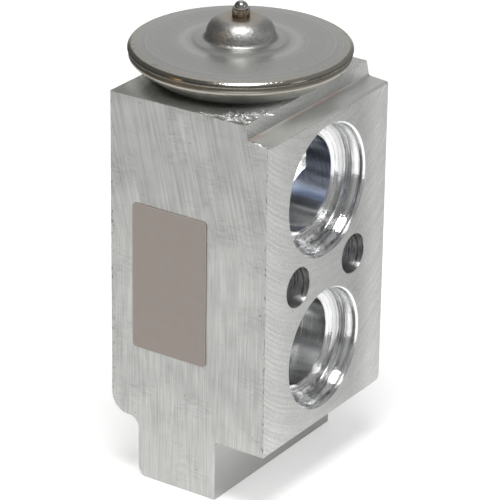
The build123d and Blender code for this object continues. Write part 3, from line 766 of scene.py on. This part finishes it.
# One material for each slot of the record
materials = {
    "block_aluminium": block_aluminium(),
    "pressed_steel": spun_steel("pressed_steel", stainless),
    "bronze": dull_bronze(),
    "polished_steel": machined_metal("polished_steel", chrome, rough=0.08, depth=0.0015),
    "thin_steel": spun_steel("thin_steel", sheet_steel),
    "turned_aluminium": machined_metal("turned_aluminium", pad_aluminium),
    "seal_rubber": seal_rubber(),
    "rod_steel": machined_metal("rod_steel", ground_steel, rough=0.16, ring_width=0.1, depth=0.003),
    "spring_steel": drawn_wire(),
    "carrier_brass": machined_metal("carrier_brass", brass),
    "screw_brass": machined_metal("screw_brass", dull_brass, rough=0.3),
    "label_film": label_film(),
}
for subpart in frame["record"]["subparts"]:
    node_mesh = frame["nodes"][subpart["node"]].data
    node_mesh.materials.clear()
    node_mesh.materials.append(materials[subpart["material_slot"]])

torn = torn_aluminium("torn_aluminium", 0.6, 1.15)
bruised = torn_aluminium("bruised_aluminium", 0.3, 1.15)


def add_object(name, data):
    """A new object in the scene that holds a mesh, a light or a camera."""
    made = bpy.data.objects.new(name, data)
    bpy.context.collection.objects.link(made)
    return made


def add_mesh(name, shape, paint):
    """A new mesh object from a bmesh."""
    mesh = bpy.data.meshes.new(name)
    shape.to_mesh(mesh)
    shape.free()
    mesh.materials.append(paint)
    return add_object(name, mesh)


def add_to_block(name, shape, paint):
    """A new piece from a bmesh that rides on the block."""
    bmesh.ops.recalc_face_normals(shape, faces=shape.faces)
    made = add_mesh(name, shape, paint)
    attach(made, "valve_body")


def torn_crumbs(name, route, count, smallest, largest, seed):
    """Small torn crumbs of metal that cling to an edge, along a route of points."""
    rng = random.Random(seed)
    shape = bmesh.new()
    crumb_points = 9
    lengths = [(end - start).length for start, end in zip(route, route[1:])]
    for i in range(count):
        place = (i + rng.random()) / count * sum(lengths)
        leg = 0
        while place > lengths[leg]:
            place -= lengths[leg]
            leg += 1
        point = route[leg].lerp(route[leg + 1], place / lengths[leg])
        size = rng.uniform(smallest, largest)
        crumb = [shape.verts.new((point + size * Vector((
            rng.uniform(-0.7, 0.7), rng.uniform(-0.45, 0.25), rng.uniform(-0.5, 0.5)))) * MM)
            for _ in range(crumb_points)]
        hull = bmesh.ops.convex_hull(shape, input=crumb)
        loose = [item for item in hull["geom_interior"] if isinstance(item, bmesh.types.BMVert)]
        bmesh.ops.delete(shape, geom=loose, context="VERTS")
    add_to_block(name, shape, torn)


# Burrs along the label side of the notch
notch_top = Vector((notch_top_x, side_y, block_top))
notch_corner = Vector((notch_foot.x + 0.1, side_y, notch_foot.z + 0.15))
notch_lip = Vector((front_x - 0.25, side_y, notch_lip_z - 0.02))
corner_route = [notch_top - Vector((0.5, 0, 0)), notch_top, notch_top.lerp(notch_corner, 0.5)]
lip_route = [notch_lip, notch_lip + Vector((0.2, 0, -0.1))]
torn_crumbs("floor_burr", [notch_corner, notch_lip], 15, smallest=0.35, largest=0.62, seed=4)
torn_crumbs("corner_burr", corner_route, 5, smallest=0.15, largest=0.3, seed=9)
torn_crumbs("lip_burr", lip_route, 3, smallest=0.4, largest=0.6, seed=2)


def dented_patch(name, centre, turn, length, width, depth, paint, seed):
    """Crumpled bruise on the top of the block, as a thin raised skin. The turn is in degrees."""
    shape = bmesh.new()
    columns, lines = 56, 22
    edge_sink = 0.03
    inner_sink = 0.01
    angle = math.radians(turn)
    along = Vector((math.cos(angle), math.sin(angle), 0))
    across = Vector((-math.sin(angle), math.cos(angle), 0))
    grid = []
    for j in range(lines + 1):
        row = []
        for i in range(columns + 1):
            u = 2 * i / columns - 1
            v = 2 * j / lines - 1
            inward = max(0.0, 1 - u * u) * max(0.0, 1 - v * v)
            bend = 0.2 * width * math.sin(3 * u + seed) * (1 - u * u)
            ragged = 1 + 0.25 * noise.noise(Vector((u * 4, v * 4, seed)))
            place = Vector((*centre, 0)) + along * (u * length / 2 * ragged) + across * (
                v * width / 2 * ragged + bend)
            folds = noise.noise(Vector((u * 5 + seed, v * 2.5, 0.5)))
            creases = noise.noise(Vector((u * 14, v * 6 + seed, 1.5)))
            lift = (0.3 + 0.8 * (folds + 0.7 * creases)) * depth * min(1.0, 3 * inward)
            edge = i in (0, columns) or j in (0, lines)
            place.z = block_top + (-edge_sink if edge else max(lift, -inner_sink))
            row.append(shape.verts.new(place * MM))
        grid.append(row)
    for low, high in zip(grid, grid[1:]):
        for i in range(columns):
            shape.faces.new((low[i], low[i + 1], high[i + 1], high[i]))
    bmesh.ops.holes_fill(shape, edges=[edge for edge in shape.edges if edge.is_boundary])
    add_to_block(name, shape, paint)


# Bruises on the top beside the notch
dented_patch("label_side_dent", (9.6, -14.9), 42, length=5.4, width=3.0, depth=0.34, paint=bruised, seed=2)
dented_patch("edge_dent", (10.7, -16.2), 14, length=4.2, width=1.0, depth=0.30, paint=torn, seed=8)
dented_patch("notch_side_dent", (11.6, -12.4), 52, length=4.6, width=2.0, depth=0.34, paint=torn, seed=5)
dented_patch("far_dent", (6.1, -16.85), 4, length=5.2, width=0.7, depth=0.16, paint=bruised, seed=6)


def spring_half(name, kept_side):
    """Half of the superheat spring, above its middle (1) or below it (-1)."""
    shape = bmesh.new()
    shape.from_mesh(frame["nodes"]["superheat_spring"].data)
    bmesh.ops.remove_doubles(shape, verts=shape.verts, dist=weld_gap * MM)
    middle = Vector((0, 0, spring_middle_z)) * MM
    whole = shape.verts[:] + shape.edges[:] + shape.faces[:]
    cut = bmesh.ops.bisect_plane(shape, geom=whole, plane_co=middle, plane_no=(0, 0, kept_side),
                                 clear_inner=True)
    rim = [item for item in cut["geom_cut"] if isinstance(item, bmesh.types.BMEdge)]
    bmesh.ops.triangle_fill(shape, edges=rim, use_beauty=True)
    made = add_mesh(name, shape, materials["spring_steel"])
    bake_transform(made)
    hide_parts("superheat_spring")


# The halves meet at the spring's middle
spring_half("lower_spring", -1)
spring_half("upper_spring", 1)


def table_paint():
    """Pale to the light, white to the camera and to the metal, and clear from underneath."""
    material = bpy.data.materials.new("table")
    n = Nodes(material)
    pale = n.node("ShaderNodeBsdfDiffuse")
    n.feed(pale.inputs["Color"], table_grey)
    glow = n.node("ShaderNodeEmission")
    rays = n.node("ShaderNodeLightPath")
    seen = n.most(rays.outputs["Is Camera Ray"], rays.outputs["Is Glossy Ray"])
    n.feed(glow.inputs["Strength"], n.times(seen, table_glow))
    together = n.node("ShaderNodeAddShader")
    n.feed(together.inputs[0], pale.outputs[0])
    n.feed(together.inputs[1], glow.outputs[0])
    clear = n.node("ShaderNodeBsdfTransparent")
    underneath = n.node("ShaderNodeNewGeometry").outputs["Backfacing"]
    output = n.node("ShaderNodeOutputMaterial")
    n.feed(output.inputs[0], n.mix_shaders(underneath, together.outputs[0], clear.outputs[0]))
    return material


# Table, a hair below the foot, which keeps the object's shadow
table_mesh = bpy.data.meshes.new("table")
table_corners = [(-table_half, -table_half), (table_half, -table_half),
                 (table_half, table_half), (-table_half, table_half)]
table_mesh.from_pydata([(x, y, table_z) for x, y in table_corners], [], [(0, 1, 2, 3)])
table_mesh.materials.append(table_paint())
table = add_object("table", table_mesh)


def studio_world():
    """White to the camera. The object sees white below, a grey backdrop that rises high behind it,
    and a darker room on its other sides."""
    world = bpy.data.worlds.new("studio")
    n = Nodes(world)
    direction = n.node("ShaderNodeTexCoord").outputs["Generated"]
    aside = n.dot(direction, right_direction)
    away = n.dot(direction, away_direction)
    sides = n.soft_ramp(aside, -0.25, 0.25, left_level, right_level)
    room_level = n.blend(n.soft_ramp(away, -0.85, -0.60, 1.0, 0.0), sides, front_level)
    in_width = n.soft_ramp(n.size(aside), 0.15, 0.45, 1.0, 0.0)
    backdrop = n.blend(in_width, room_level, backdrop_level)
    level = n.blend(n.soft_ramp(away, 0.0, 0.2), room_level, backdrop)
    below = n.soft_ramp(n.split(direction)[2], -0.22, -0.17, 1.0, 0.0)
    room = n.node("ShaderNodeBackground")
    n.feed(room.inputs["Strength"], n.blend(below, level, 1.0))
    behind = n.node("ShaderNodeBackground")
    n.feed(behind.inputs["Color"], white)
    rays = n.node("ShaderNodeLightPath")
    output = n.node("ShaderNodeOutputWorld")
    n.feed(output.inputs[0],
           n.mix_shaders(rays.outputs["Is Camera Ray"], room.outputs[0], behind.outputs[0]))
    return world


bpy.context.scene.world = studio_world()


def disk_lamp(name, size, power, place, away):
    """Round area lamp at a place, whose back points away. Metres and watts."""
    light = bpy.data.lights.new(name, "AREA")
    light.shape = "DISK"
    light.size = size
    light.energy = power
    lamp = add_object(name, light)
    lamp.location = place
    lamp.rotation_mode = "QUATERNION"
    lamp.rotation_quaternion = away.to_track_quat("Z", "Y")
    return lamp


def soft_box(name, azimuth, elevation, size, power, reflected=True, colour=white):
    """Studio lamp that faces the object. Degrees, metres and watts."""
    turn, climb = math.radians(azimuth), math.radians(elevation)
    away = Vector((math.sin(turn) * math.cos(climb), -math.cos(turn) * math.cos(climb), math.sin(climb)))
    lamp = disk_lamp(name, size, power, lamp_aim + away * lamp_distance, away)
    lamp.data.color = colour
    lamp.visible_glossy = reflected


soft_box("key_lamp", 35, 75, size=0.46, power=7.0)
soft_box("right_lamp", 98, 30, size=0.3, power=0.25)
soft_box("low_right_lamp", 139, -1, size=0.42, power=0.30)
soft_box("warm_lamp", -34, 30, size=0.14, power=0.25, colour=lamp_orange)
soft_box("fill_lamp", -15, 12, size=0.8, power=6.0, reflected=False)

# Small card light behind the suction passage, which shines through it and lights nothing else
passage_lamp = disk_lamp("passage_lamp", size=0.012, power=0.0014,
                         place=Vector((back_x - 25.0, 2.6, suction_z + 4.7)) * MM,
                         away=Vector((-0.98, -0.133, 0.16)))
passage_lamp.data.spread = math.radians(28)
passage_lamp.visible_camera = False

# Camera
back = Vector((math.sin(camera_azimuth) * math.cos(camera_elevation),
               -math.cos(camera_azimuth) * math.cos(camera_elevation),
               math.sin(camera_elevation)))
level_up = back.cross(right_direction)
right = right_direction * math.cos(camera_roll) + level_up * math.sin(camera_roll)
up = level_up * math.cos(camera_roll) - right_direction * math.sin(camera_roll)
camera_data = bpy.data.cameras.new("camera")
camera_data.lens = camera_lens
camera_data.sensor_width = sensor_width
camera_data.clip_start = 0.01
camera_data.clip_end = 20.0
camera = add_object("camera", camera_data)
camera.matrix_world = Matrix.Translation(camera_place) @ Matrix((right, up, back)).transposed().to_4x4()
bpy.context.scene.camera = camera

bpy.context.scene.view_settings.view_transform = "Standard"
